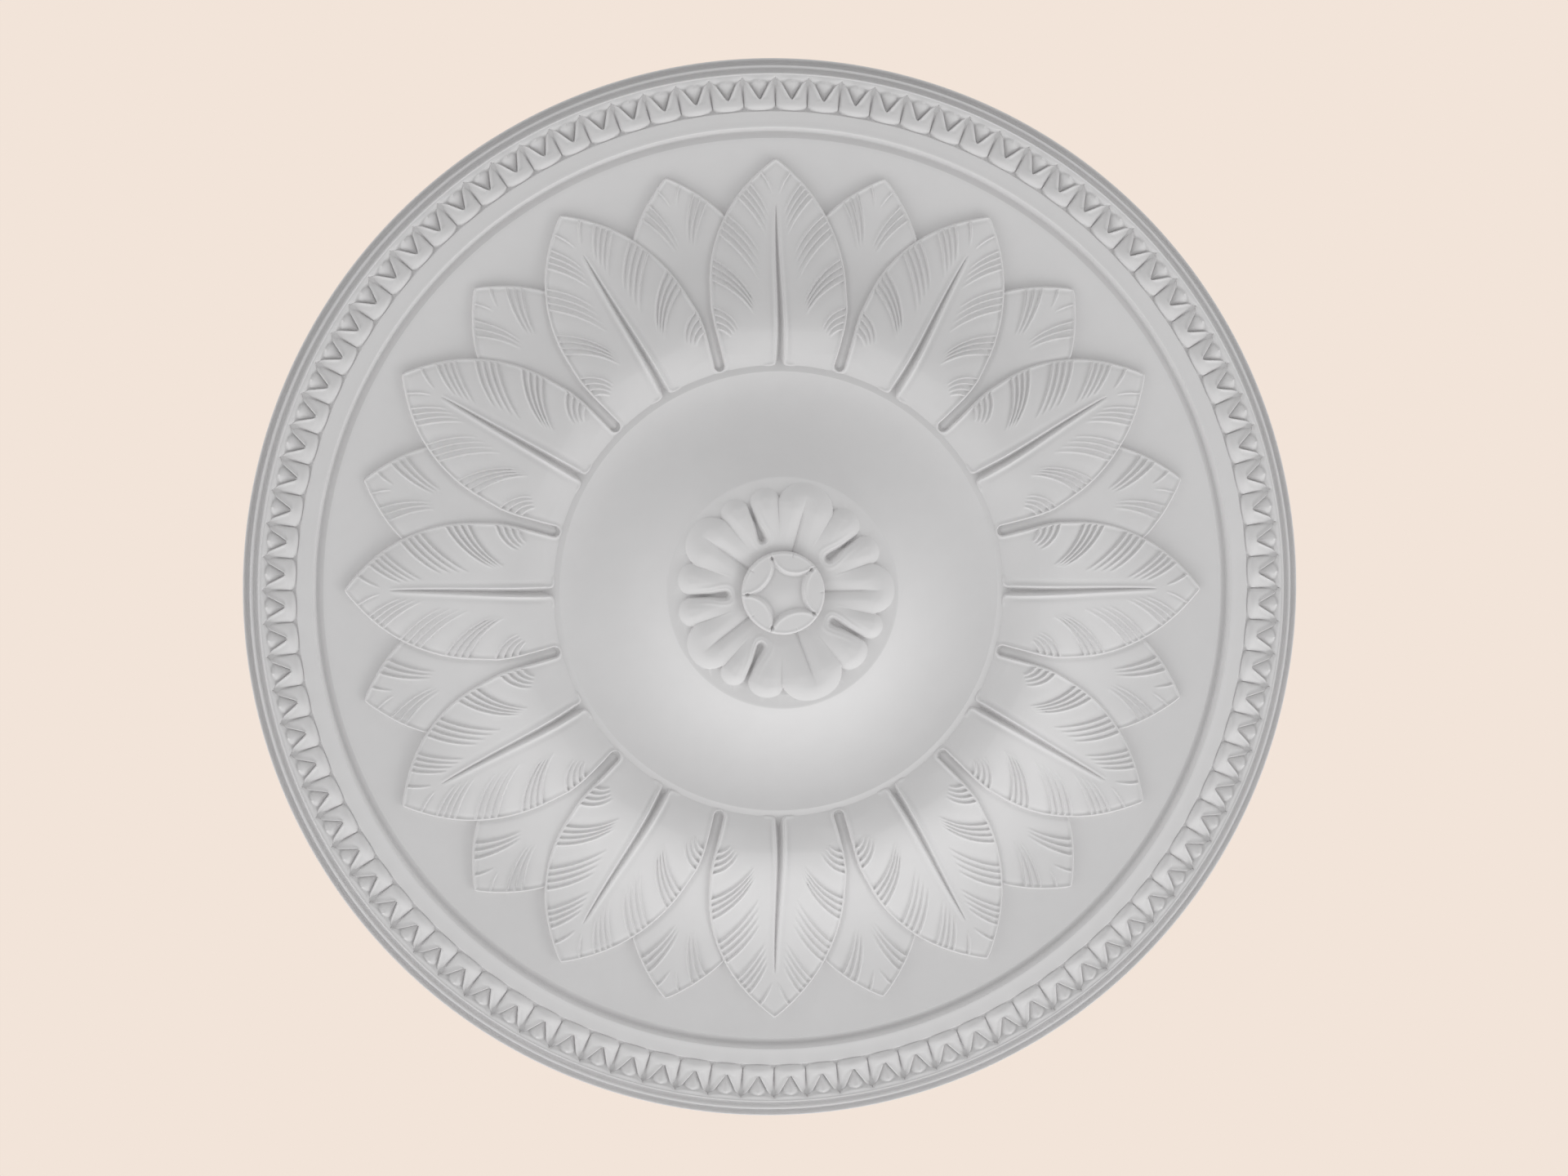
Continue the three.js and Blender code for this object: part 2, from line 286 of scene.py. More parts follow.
def mottle_group():
    """Slow, faint change of tone over the paint."""
    group, source, result = group_with(
        "Paint mottle",
        [("Place", "NodeSocketVector", None), ("Colour", "NodeSocketColor", (0.6, 0.6, 0.6, 1)),
         ("Strength", "NodeSocketFloat", 0.05)],
        [("Colour", "NodeSocketColor"), ("Roughness shift", "NodeSocketFloat")],
    )
    broad = noise_node(group, source.outputs["Place"], 9, 3)
    fine = noise_node(group, source.outputs["Place"], 55, 4, 0.6)
    both = maths(group, "ADD", broad.outputs["Fac"], fine.outputs["Fac"])
    shift = maths(group, "MULTIPLY", maths(group, "SUBTRACT", both, 1.0), source.outputs["Strength"])
    tone = group.nodes.new("ShaderNodeVectorMath")
    tone.operation = "SCALE"
    group.links.new(source.outputs["Colour"], tone.inputs[0])
    group.links.new(maths(group, "ADD", shift, 1.0), tone.inputs["Scale"])
    group.links.new(tone.outputs[0], result.inputs["Colour"])
    group.links.new(shift, result.inputs["Roughness shift"])
    return group


def grain_group():
    """Fine grain of painted plaster, with the faint waves that a brush and scraper leave."""
    group, source, result = group_with(
        "Plaster grain",
        [("Place", "NodeSocketVector", None), ("Grain", "NodeSocketFloat", 0.3),
         ("Waves", "NodeSocketFloat", 0.5)],
        [("Height", "NodeSocketFloat")],
    )
    grain = noise_node(group, source.outputs["Place"], 1400, 3, 0.6)
    waves = noise_node(group, source.outputs["Place"], 90, 2, 0.4)
    fine = maths(group, "MULTIPLY", grain.outputs["Fac"], source.outputs["Grain"])
    slow = maths(group, "MULTIPLY", waves.outputs["Fac"], source.outputs["Waves"])
    group.links.new(maths(group, "ADD", fine, slow), result.inputs["Height"])
    return group


def plaster_material():
    name = "Painted plaster"
    if name in bpy.data.materials:
        return bpy.data.materials[name]
    finish = bpy.context.scene.rose_finish
    material = bpy.data.materials.new(name)
    material.use_nodes = True
    tree = material.node_tree
    shader = tree.nodes["Principled BSDF"]
    shader.inputs["Specular IOR Level"].default_value = 0.35
    place = tree.nodes.new("ShaderNodeTexCoord").outputs["Object"]
    mottle = tree.nodes.new("ShaderNodeGroup")
    mottle.node_tree = mottle_group()
    mottle.inputs["Colour"].default_value = (*finish.colour, 1)
    mottle.inputs["Strength"].default_value = finish.mottle
    tree.links.new(place, mottle.inputs["Place"])
    tree.links.new(mottle.outputs["Colour"], shader.inputs["Base Color"])
    rough = maths(tree, "ADD", mottle.outputs["Roughness shift"], finish.roughness)
    tree.links.new(rough, shader.inputs["Roughness"])
    grain = tree.nodes.new("ShaderNodeGroup")
    grain.node_tree = grain_group()
    tree.links.new(place, grain.inputs["Place"])
    relief = tree.nodes.new("ShaderNodeBump")
    relief.inputs["Strength"].default_value = finish.grain
    relief.inputs["Distance"].default_value = 0.1 * MM
    tree.links.new(grain.outputs["Height"], relief.inputs["Height"])
    tree.links.new(relief.outputs["Normal"], shader.inputs["Normal"])
    return material


# Body: the spun profile

def slope_depth(radius):
    """Plain slope that the leaves stand on, beside the hollow ring's edge."""
    return EDGE_DEPTH - EDGE_SLOPE * (radius - EDGE_RADIUS)


def ground_depth(radius):
    """Plain surface of the field and under the leaves."""
    if radius > DISH_RADIUS:
        return mix(DISH_DEPTH, FIELD_DEPTH, (radius - DISH_RADIUS) / (FIELD_RADIUS - DISH_RADIUS))
    share = (DISH_RADIUS - radius) / (DISH_RADIUS - CREST_RADIUS)
    return float(mix(DISH_DEPTH, GROUND_CREST_DEPTH, swell(share, 1.6)))


def hollow_ring_profile(disc_edge_depth, fall_steps=14, rise_steps=5):
    """The hollow ring: down from the disc to its lowest circle and up a little to its edge."""
    points = []
    for step in range(1, fall_steps + 1):
        share = 1 - step / fall_steps
        depth = mix(HOLLOW_DEPTH, disc_edge_depth, share * share)
        points.append((mix(HOLLOW_RADIUS, DISC_RADIUS, share), depth))
    for step in range(1, rise_steps + 1):
        share = step / (rise_steps + 1)
        depth = mix(HOLLOW_DEPTH, EDGE_DEPTH, share ** 1.8)
        points.append((mix(HOLLOW_RADIUS, EDGE_RADIUS, share), depth))
    return points


def body_profile():
    """Radius and depth of each profile point, from the disc over the rim to the back."""
    disc_edge_depth = DISC_TOP - 0.25
    points = [(0, RECESS_DEPTH), (RECESS_RADIUS, RECESS_DEPTH), (RECESS_RADIUS + 0.2, DISC_TOP - 0.02)]
    points += [(DISC_RADIUS - 0.4, DISC_TOP - 0.02), (DISC_RADIUS, disc_edge_depth)]
    points += hollow_ring_profile(disc_edge_depth)
    points += [(EDGE_RADIUS - 0.5, EDGE_DEPTH - 0.15), (EDGE_RADIUS, EDGE_DEPTH)]
    points.append((EDGE_RADIUS + 0.5, EDGE_DEPTH - 0.12))
    points += [(radius, slope_depth(radius)) for radius in SLOPE_RADII]
    points += [(radius, ground_depth(radius)) for radius in GROUND_RADII]
    points.append((FIELD_RADIUS - 3.5, FIELD_DEPTH - 0.2))
    points += FIELD_TROUGH + FILLET + BAND_BED + INNER_CHANNEL + RIM_ARRIS + OUTER_CHANNEL
    points += [(379.5, 5.1), (RIM_RADIUS, 4.6), (RIM_RADIUS, 0.4), (RIM_RADIUS - 0.4, 0)]
    for ring in KEY_RINGS:
        points += [(ring + KEY_HALF_WIDTH, 0), (ring + KEY_FLOOR_HALF_WIDTH, KEY_DEPTH)]
        points += [(ring - KEY_FLOOR_HALF_WIDTH, KEY_DEPTH), (ring - KEY_HALF_WIDTH, 0)]
    return points + [(0, 0)]


def make_body(segments=288):
    profile = body_profile()
    mesh = bpy.data.meshes.new("rose_body")
    piece = bpy.data.objects.new("rose_body", mesh)
    bpy.context.collection.objects.link(piece)
    corners = [(0, -radius * MM, -depth * MM) for radius, depth in profile]
    mesh.from_pydata(corners, [(i, i + 1) for i in range(len(corners) - 1)], [])
    select_only(piece)
    bpy.ops.object.mode_set(mode="EDIT")
    bpy.ops.mesh.select_all(action="SELECT")
    bpy.ops.mesh.spin(steps=segments, angle=FULL_TURN, center=(0, 0, 0), axis=(0, 0, 1))
    bpy.ops.mesh.select_all(action="SELECT")
    bpy.ops.mesh.remove_doubles(threshold=2e-5)
    bpy.ops.object.mode_set(mode="OBJECT")
    return piece


# Band of tongues and darts

def notch_half(radius):
    """Half the width of the notch that a dart stands in."""
    out = np.clip(radius - NOTCH_FOOT, 0, None)
    flare = 3.0 * (np.clip(out - 10.9, 0, None) / 5.3) ** 2.2
    return 0.3 + 0.56 * out + 0.4 * (1 - np.exp(-out / 0.5)) + flare


def tongue_surface(across, radius, half):
    """A tongue: it swells up from its rounded foot and falls to the grooves on both sides."""
    aside = across / half
    foot = BAND_INNER + 0.1 + 3.3 * aside ** 2.4
    inside = np.clip(radius - foot, 0, None)
    rounding = 1 - (1 - np.clip(inside / 5.4, 0, 1)) ** 2.2
    depth = 13.0 + 4.0 * rounding - 0.24 * np.clip(inside - 4.5, 0, None)
    depth = depth - 4.6 * aside ** 2 * smooth(inside / 5)
    groove = half - 0.3 - across
    depth = depth - 0.9 * np.clip(1 - groove / 2.0, 0, 1) ** 2 - 2.0 * smooth((0.35 - groove) / 0.5)
    # a point is sunk where the groove meets the foot
    from_point = np.clip(groove, 0, None) ** 2 + np.clip(radius - BAND_INNER - 1.2, 0, None) ** 2
    return depth - 2.2 * np.exp(-from_point / 2.4)


def dart_surface(across, radius):
    """A dart: a kite with a ridge, on the floor of its notch."""
    floor = mix(9.7, 12.0, smooth((radius - 360.5) / 5))
    out = np.clip(radius - NOTCH_FOOT, 0, 12.5)
    shoulder = 5.2 * np.clip(1 - (radius - DART_SHOULDER) / 4.8, 0, 1) ** 1.2
    half_dart = np.minimum(0.84 * notch_half(radius), shoulder)
    share = np.clip(1 - across / np.maximum(half_dart, 0.05), 0, 1)
    dart = 10.6 + 0.1 * out + (1.0 + 0.12 * out) * share
    dart = dart - 0.3 * np.clip(radius - DART_SHOULDER, 0, None)
    return mix(floor, dart, smooth((half_dart - across) / 0.5 + 0.4))


def tongue_depth(across, radius, half):
    """Depth of one unit of the band. Across is the distance from the middle of the tongue."""
    beside = (across - notch_half(radius)) / NOTCH_SLANT
    opened = smooth((radius - NOTCH_FOOT + 0.2) / 1.2)
    lip = 0.75 * bump(beside, 0.55, 0.55) - 0.8 * bump(beside, 2.3, 1.3)
    tongue = tongue_surface(across, radius, half) + opened * lip
    notched = mix(tongue, dart_surface(across, radius), smooth(-beside / 0.35 + 0.2) * opened)
    depth = np.where(opened > 0, notched, tongue)
    top = BAND_OUTER - 1.2 - 2.1 * np.sin(np.pi * np.clip(across / half, 0, 1)) ** 1.3
    return mix(depth, STRIP_DEPTH, smooth((radius - top) / 0.6))


def make_tongue_band():
    """One tongue, on columns that follow the edges of its notch and of its dart."""
    count = bpy.context.scene.rose_sizes.tongue_count
    in_notch = np.array([0, 0.35, 0.66, 0.84, 0.95])
    beside_it = np.array([0.02, 0.08, 0.17, 0.34, 0.54, 0.73, 0.88, 0.95, 1.0])
    side = len(in_notch) + len(beside_it)
    above_foot = np.array([0, 0.4, 0.9, 1.5, 2.3, 3.4, 4.8, 6.4, 7.6, 8.3, 8.8, 9.4])
    to_shoulder, to_strip = np.linspace(352.0, 361.2, 7), np.linspace(DART_SHOULDER, BAND_OUTER, 9)
    levels = np.concatenate([BAND_INNER + above_foot, to_shoulder, to_strip])
    columns, rows = 2 * side + 1, len(levels) + 2
    piece, column, row = add_sheet("tongue_band", columns, rows)
    radius = levels[np.clip(row - 1, 0, len(levels) - 1)]
    half = radius * FULL_TURN / count / 2
    step = np.clip(np.abs(column - side), 0, side - 1)
    notch = np.minimum(notch_half(radius), half - 0.9)
    inside = in_notch[np.clip(step, 0, len(in_notch) - 1)] * notch
    outside = mix(notch, half, beside_it[np.clip(step - len(in_notch), 0, len(beside_it) - 1)])
    across = np.where(step < len(in_notch), inside, outside)
    border = (row == 0) | (row == rows - 1) | (column == 0) | (column == columns - 1)
    depth = np.where(border, BAND_WALL_FOOT, tongue_depth(across, radius, half))
    write_turned(piece, np.sign(column - side) * across / radius, radius, depth)
    fill_below(piece, BAND_UNDERSIDE)
    copies = turned_copies(piece, [(number + 0.5) * 360 / count for number in range(count)], "tongue")
    select_only(copies[-1])
    for copy in copies:
        copy.select_set(True)
    bpy.ops.object.join()
    band = bpy.context.active_object
    band.name = band.data.name = "tongue_band"
    return band


# Leaves

def half_pitch():
    """Angle between the middle of a front leaf and the middle of the back leaf beside it."""
    return math.pi / bpy.context.scene.rose_sizes.leaf_count


def leaf_outline(from_tip):
    """Half the width of a leaf near its outer end."""
    left = np.clip(1 - from_tip / LEAF_WIDEST, 0, 1)
    near = from_tip / 9
    return LEAF_HALF_WIDTH * (1 - left * left) ** 0.78 - 1.6 * near * np.exp(1 - near)


def slot_half_width(along):
    """Half the width of the slot between two leaves, by the distance along its middle line."""
    wide = SLOT_HALF_WIDTH + 5.2 * np.clip((along - 190) / 36, 0, None) ** 1.7
    head = np.sqrt(np.clip(SLOT_HALF_WIDTH ** 2 - np.clip(SLOT_HEAD - along, 0, None) ** 2, 0, None))
    return np.where(along < SLOT_HEAD, head, wide)


def leaf_edge(reach, tip):
    """Half the width of a leaf at a distance from the centre along its axis."""
    sine, cosine = math.sin(half_pitch()), math.cos(half_pitch())
    outer = leaf_outline(np.clip(tip - reach, 0, None))
    along = reach * cosine + outer * sine
    inner = (reach * sine - slot_half_width(along)) / cosine
    for _ in range(4):
        along = reach * cosine + inner * sine
        inner = (reach * sine - slot_half_width(along)) / cosine
    return np.where(reach > tip - LEAF_WIDEST, outer, np.minimum(inner, LEAF_HALF_WIDTH))


def front_axis_depth(reach):
    """Depth along the middle of a front leaf: up from its tip to the crest and down to its foot."""
    start = LEAF_TIP - 3
    share = np.clip((start - reach) / (start - CREST_RADIUS), 0, 1)
    outside = mix(14.8, CREST_DEPTH, 0.1 * share + 0.9 * swell(share, 1.6))
    past = np.clip((CREST_RADIUS - reach) / 21.2, 0, None)
    return outside - 6.3 * past ** 1.6


def back_axis_depth(reach):
    """Depth along the middle of a back leaf."""
    share = (BACK_LEAF_TIP - reach) / (BACK_LEAF_TIP - CREST_RADIUS)
    outside = mix(13.4, CREST_DEPTH - 4.6, swell(share, 1.75))
    past = np.clip((CREST_RADIUS - reach) / 20, 0, None)
    return outside - 3.7 * past ** 1.5


class Strokes:
    """A group of veins cut from the margin inwards. Starts are distances from the tip, of the first
    vein and the last; ends are given across the leaf and from its tip."""

    def __init__(self, count, starts, first_end, last_end, bulge, depth, width):
        self.count, self.starts, self.first_end, self.last_end = count, starts, first_end, last_end
        self.bulge, self.depth, self.width = bulge, depth, width

    def cut(self, across, from_tip, tip):
        """Depth of the cuts at points of the right half of a leaf."""
        total = np.zeros_like(across)
        for number in range(self.count):
            share = number / max(self.count - 1, 1)
            down = mix(*self.starts, share)
            start = np.array([float(leaf_edge(np.array(tip - down), tip)) + 0.5, down])
            end = np.array([mix(self.first_end[i], self.last_end[i], share) for i in (0, 1)])
            chord = end - start
            length = np.hypot(*chord)
            tipward = np.array([chord[1], -chord[0]]) / length
            middle = (start + end) / 2 + tipward * self.bulge * length * -np.sign(tipward[1])
            last = share == 1 and self.count > 1
            one = self.one_cut(across, from_tip, (start, middle, end), last)
            total = np.where(np.abs(one) > np.abs(total), one, total)
        return total

    def one_cut(self, across, from_tip, bow, last):
        """One vein along a bow: a raised lip, a steep wall, and a slope that runs out beside it."""
        low = np.minimum(bow[0], bow[2]) - STROKE_ROOM
        high = np.maximum(bow[0], bow[2]) + STROKE_ROOM
        near = (across > low[0]) & (across < high[0]) & (from_tip > low[1]) & (from_tip < high[1])
        cut = np.zeros_like(across)
        if not near.any():
            return cut
        distance, at = distance_to_bow(across[near], from_tip[near], bow)
        fade = (1 - at ** 2.2) ** 0.7 * np.where(at >= 1, 0, 1)
        width = self.width * mix(1.0, 0.6, at) * (3.2 if last else 1)
        wall = smooth((distance + 0.4) / 0.8)
        back = np.clip(1 - (distance - 0.4) / width, 0, 1) ** 1.5
        ridge = 0.95 * bump(distance, -0.7, 0.7)
        cut[near] = self.depth * fade * (0.55 * wall * back * smooth(at / 0.15) - ridge)
        return cut


def distance_to_bow(x, y, bow, steps=22):
    """Signed distance of points from a curve through three controls, and how far along it they are."""
    start, middle, end = bow
    t = np.linspace(0, 1, steps + 1)[:, None]
    curve = (1 - t) ** 2 * start + 2 * t * (1 - t) * middle + t * t * end
    best = np.full(x.shape, 1e9)
    side = np.zeros(x.shape)
    at = np.zeros(x.shape)
    for step in range(steps):
        a, b = curve[step], curve[step + 1]
        d = b - a
        along = np.clip(((x - a[0]) * d[0] + (y - a[1]) * d[1]) / (d @ d), 0, 1)
        dx, dy = x - a[0] - along * d[0], y - a[1] - along * d[1]
        gap = dx * dx + dy * dy
        closer = gap < best
        best = np.where(closer, gap, best)
        side = np.where(closer, np.sign(d[0] * dy - d[1] * dx), side)
        at = np.where(closer, (step + along) / steps, at)
    return np.sqrt(best) * -side, at


FRONT_STROKES = [
    Strokes(1, (8.6, 8.6), (2.9, 25), (2.9, 25), 0.10, 1.2, 2.0),
    Strokes(4, (16.6, 26.7), (6.1, 39.9), (8.0, 55), 0.10, 1.25, 2.0),
    Strokes(4, (39.5, 52.9), (12.7, 68.6), (14, 88), 0.12, 1.5, 2.4),
    Strokes(4, (71.5, 86.9), (17.2, 106), (18.5, 112.5), 0.18, 1.6, 2.6),
    Strokes(4, (107, 122.7), (30.0, 122.3), (35.5, 128), 0.27, 1.5, 2.6),
]
BACK_STROKES = [
    Strokes(1, (6.5, 6.5), (2.5, 21), (2.5, 21), 0.10, 1.0, 1.9),
    Strokes(3, (14.5, 23), (4.0, 50), (7.5, 54), 0.12, 1.35, 2.3),
]


def cut_veins(depth, across, reach, tip, inset, groups):
    """The surface with its veins cut, up to the bead along the margin."""
    carved = smooth((inset - 1.4) / 0.7)
    for group in groups:
        depth = depth - group.cut(np.abs(across), tip - reach, tip) * carved
    return depth


def base_inset(across, radius):
    """Distance inside the rounded corner that each half of a leaf has beside its midrib's foot."""
    beside = np.clip(FOOT_CORNER - (np.abs(across) - FOOT_HALF_GAP), 0, None)
    above = np.clip(FOOT_CORNER - (radius - BASE_RADIUS), 0, None)
    return FOOT_CORNER - np.hypot(beside, above)


def rib_cut(across, reach, tip, start):
    """The midrib: a groove that opens out towards the base, between two soft lips."""
    grown = np.clip((tip - start - reach) / (tip - start - BASE_RADIUS), 0, 1)
    half = 0.45 + 2.5 * grown ** 0.75
    depth = 6.2 * grown ** 0.6
    aside = np.abs(across)
    valley = np.clip(1 - (aside / half) ** 1.35, 0, 1)
    # the lips bend outwards round the foot's corners
    radius = np.hypot(across, reach)
    turned = base_inset(across, radius) - 2.0 * smooth((radius - BASE_RADIUS) / 7)
    beside = np.where(radius < BASE_RADIUS + FOOT_CORNER, turned, aside - half)
    lip = grown ** 0.4 * bump(beside, 0.9, 0.9) * smooth((half + 9.5 - aside) / 4)
    beyond = grown ** 0.4 * bump(aside - half, 3.4, 1.7) * smooth((reach - BASE_RADIUS - 3) / 9)
    return depth * valley - 1.1 * lip + 0.6 * beyond


def slot_inset(across, reach):
    """Distance from the slot between two front leaves, or between two back leaves."""
    sine, cosine = math.sin(half_pitch()), math.cos(half_pitch())
    beside = reach * sine - np.abs(across) * cosine
    along = reach * cosine + np.abs(across) * sine
    head = np.hypot(beside, along - SLOT_HEAD) - SLOT_HALF_WIDTH
    return np.where(along < SLOT_HEAD, head, beside - slot_half_width(along))


def margin_inset(across, reach, tip):
    """Distance inside the margin of a leaf, measured square to it."""
    step = 0.5
    slope = (leaf_outline(tip - reach + step) - leaf_outline(tip - reach - step)) / (2 * step)
    outer = (leaf_outline(np.clip(tip - reach, 0, None)) - np.abs(across)) / np.hypot(1, slope)
    inner = np.minimum(slot_inset(across, reach), LEAF_HALF_WIDTH - np.abs(across))
    return np.where(reach > tip - LEAF_WIDEST, outer, inner)


def margin_bead(inset):
    """The rounded bead along a margin and the hollow inside it."""
    return 0.75 * bump(inset, 0.9, 0.85) - 0.28 * bump(inset, 3.1, 1.3) - quarter_round(inset, 1.2)


def front_surface(across, reach):
    """Depth of a front leaf, by the distance across it and from the centre along its axis."""
    radius = np.hypot(across, reach)
    level = mix(reach, radius, smooth((200 - reach) / 35))
    half = np.maximum(leaf_edge(reach, LEAF_TIP), 4)
    droop = 5.2 * np.sin(np.pi * np.clip((LEAF_TIP - reach) / 140, 0, 1)) ** 0.9
    depth = front_axis_depth(level) - droop * np.clip(np.abs(across) / half, 0, 1) ** 2.1
    inset = margin_inset(across, reach, LEAF_TIP)
    depth = cut_veins(depth + margin_bead(inset), across, reach, LEAF_TIP, inset, FRONT_STROKES)
    # the midrib is cut no deeper than the plain slope, which lies bare between the foot's corners
    bare = slope_depth(radius) - 0.1
    lowest = np.where(radius < BASE_RADIUS + 16, bare, -np.inf)
    depth = np.maximum(depth - rib_cut(across, reach, LEAF_TIP, RIB_START), lowest)
    base = base_inset(across, radius)
    foot = mix(depth - 0.8 * quarter_round(base, 1.0), bare, smooth((0.5 - base) / 0.9))
    return np.where(radius < BASE_RADIUS + FOOT_CORNER, foot, depth)


def back_surface(across, reach):
    """Depth of a back leaf, by the same distances."""
    half = np.maximum(leaf_edge(reach, BACK_LEAF_TIP), 4)
    droop = 1.5 * smooth((BACK_LEAF_TIP - reach) / 30)
    depth = back_axis_depth(reach) - droop * np.clip(np.abs(across) / half, 0, 1) ** 2
    inset = margin_inset(across, reach, BACK_LEAF_TIP)
    depth = depth + np.where(reach > 225, margin_bead(inset), 0)
    # it dips beside the front leaves that lie on it
    sine, cosine = math.sin(half_pitch()), math.cos(half_pitch())
    turned_across = reach * sine - np.abs(across) * cosine
    turned_reach = reach * cosine + np.abs(across) * sine
    beside = np.maximum(turned_across, 0) - leaf_edge(turned_reach, LEAF_TIP)
    depth = depth - 1.3 * bump(np.clip(beside, 0, None), 0, 2.2)
    return cut_veins(depth, across, reach, BACK_LEAF_TIP, inset, BACK_STROKES)


def leaf_rows(tip, length, spacing):
    """Distances from the tip: close at the tip, even after it, close round the head of the slot."""
    rows, at = [0.0], 0.0
    while at < length:
        at += mix(0.35, spacing, min(at / 25, 1))
        rows.append(min(at, length))
    rows = np.array(rows)
    first, last = tip - SLOT_HEAD - 0.6, tip - SLOT_HEAD + SLOT_HALF_WIDTH + 0.6
    at_slot = first + (last - first) * np.linspace(0, 1, 34) ** 0.7
    return np.sort(np.concatenate([rows[(rows < first - 0.1) | (rows > last + 0.1)], at_slot]))


def leaf_columns(half, spacing):
    """Distances in from the margin, close together at it, as shares of the half width."""
    offsets = np.concatenate([[0, 0.2, 0.45, 0.75, 1.1, 1.5, 1.95], np.arange(2.4, half, spacing)])
    offsets = np.concatenate([offsets[offsets < half - 0.3 * spacing], [half]]) / half
    return np.concatenate([-1 + offsets[:-1], 1 - offsets[::-1]])


def lay_border(points, columns, rows, foot_depth):
    """Moves the outermost ring of a sheet to the foot of its wall, a little outside the margin."""
    grid = points.reshape(rows, columns, 3)
    ring = [(1, j) for j in range(1, columns - 1)]
    ring += [(i, columns - 2) for i in range(2, rows - 1)]
    ring += [(rows - 2, j) for j in range(columns - 3, 0, -1)]
    ring += [(i, 1) for i in range(rows - 3, 1, -1)]
    loop = np.array([grid[i, j] for i, j in ring])
    ahead, behind = np.roll(loop, -2, axis=0), np.roll(loop, 2, axis=0)
    tangent = ahead[:, :2] - behind[:, :2]
    tangent /= np.maximum(np.hypot(tangent[:, 0], tangent[:, 1]), 1e-9)[:, None]
    outward = np.stack([tangent[:, 1], -tangent[:, 0]], axis=1)
    middle = loop[:, :2].mean(axis=0)
    if np.sum((loop[:, :2] - middle) * outward) < 0:
        outward = -outward
    feet = {}
    for place, corner, normal in zip(ring, loop, outward):
        drop = max(-corner[2] - foot_depth, 0.5)
        foot = [corner[axis] + normal[axis] * WALL_FLARE * drop for axis in (0, 1)]
        feet[place] = (*foot, -foot_depth)
    for i in range(rows):
        for j in range(columns):
            if i in (0, rows - 1) or j in (0, columns - 1):
                grid[i, j] = feet[min(max(i, 1), rows - 2), min(max(j, 1), columns - 2)]
    return grid.reshape(-1, 3)


def leaf_sheet(name, tip, foot, spacing, surface, foot_depth):
    """One leaf along azimuth 0, laid out between its margins, with its walls down into the body."""
    half = LEAF_HALF_WIDTH
    shares = leaf_columns(half, spacing)
    downs = leaf_rows(tip, tip - foot, spacing)
    columns, rows = len(shares) + 2, len(downs) + 2
    piece, column, row = add_sheet(name, columns, rows)
    share = shares[np.clip(column - 1, 0, columns - 3)]
    straight = tip - downs[np.clip(row - 1, 0, rows - 3)]
    # rows are straight across the leaf at its tip, and arcs round the centre at its foot
    arc_share = smooth((195 - straight) / 24)
    reach = straight.copy()
    for _ in range(5):
        margin = leaf_edge(reach, tip)
        inward = 1 - np.abs(share)
        extra = (half - margin) * inward * (1 - inward) ** 3 * np.minimum(margin / 12, 1)
        across = np.sign(share) * (margin - inward * margin - extra)
        curved = np.sqrt(np.maximum(straight * straight - across * across, 1))
        reach = mix(straight, curved, arc_share)
    points = np.stack([across, -reach, -surface(across, reach)], axis=1)
    order = np.lexsort((column, row))
    points[order] = lay_border(points[order], columns, rows, foot_depth)
    write_points(piece, points * MM)
    fill_below(piece, foot_depth - 1)
    return piece


def make_front_leaves(triangles=38500):
    count = bpy.context.scene.rose_sizes.leaf_count
    piece = leaf_sheet("front_leaf", LEAF_TIP, BASE_RADIUS, 0.48, front_surface, 6.0)
    thin_out(piece, triangles)
    return turned_copies(piece, [number * 360 / count for number in range(count)], "front_leaf")


def make_back_leaves(triangles=11000):
    count = bpy.context.scene.rose_sizes.leaf_count
    piece = leaf_sheet("back_leaf", BACK_LEAF_TIP, BACK_LEAF_FOOT, 0.8, back_surface, 5.5)
    thin_out(piece, triangles)
    return turned_copies(piece, [(number + 0.5) * 360 / count for number in range(count)], "back_leaf")


# Rosette and button

def petal_angle(azimuth, veins, gaps):
    """Angle from a petal's middle, -36 to 36, for petals of unequal widths."""
    knots, values = [], []
    for number, (gap, vein) in enumerate(zip(gaps, veins)):
        knots += [gap - 360 if gap > vein else gap, vein]
        values += [-36 + 72 * number, 72 * number]
    knots.append(knots[0] + 360)
    values.append(36 + 72 * (len(gaps) - 1))
    wrapped = (azimuth - knots[0]) % 360 + knots[0]
    return (np.interp(wrapped, knots, values) + 36) % 72 - 36


def lobe_inset(across, radius, widest_at, reach, half_angle):
    """Distance inside a lobe with straight sides and a round end."""
    widest = widest_at * math.radians(half_angle)
    beyond = np.clip((radius - widest_at) / (reach - widest_at), 0, None)
    aside = np.abs(across) / widest
    share = np.maximum(aside ** 2 + beyond ** 2, 1e-9)
    scale = (widest * aside ** 2 + (reach - widest_at) * beyond ** 2) / share
    straight = radius * math.radians(half_angle) - np.abs(across)
    return np.where(radius > widest_at, (1 - np.sqrt(share)) * scale, straight)


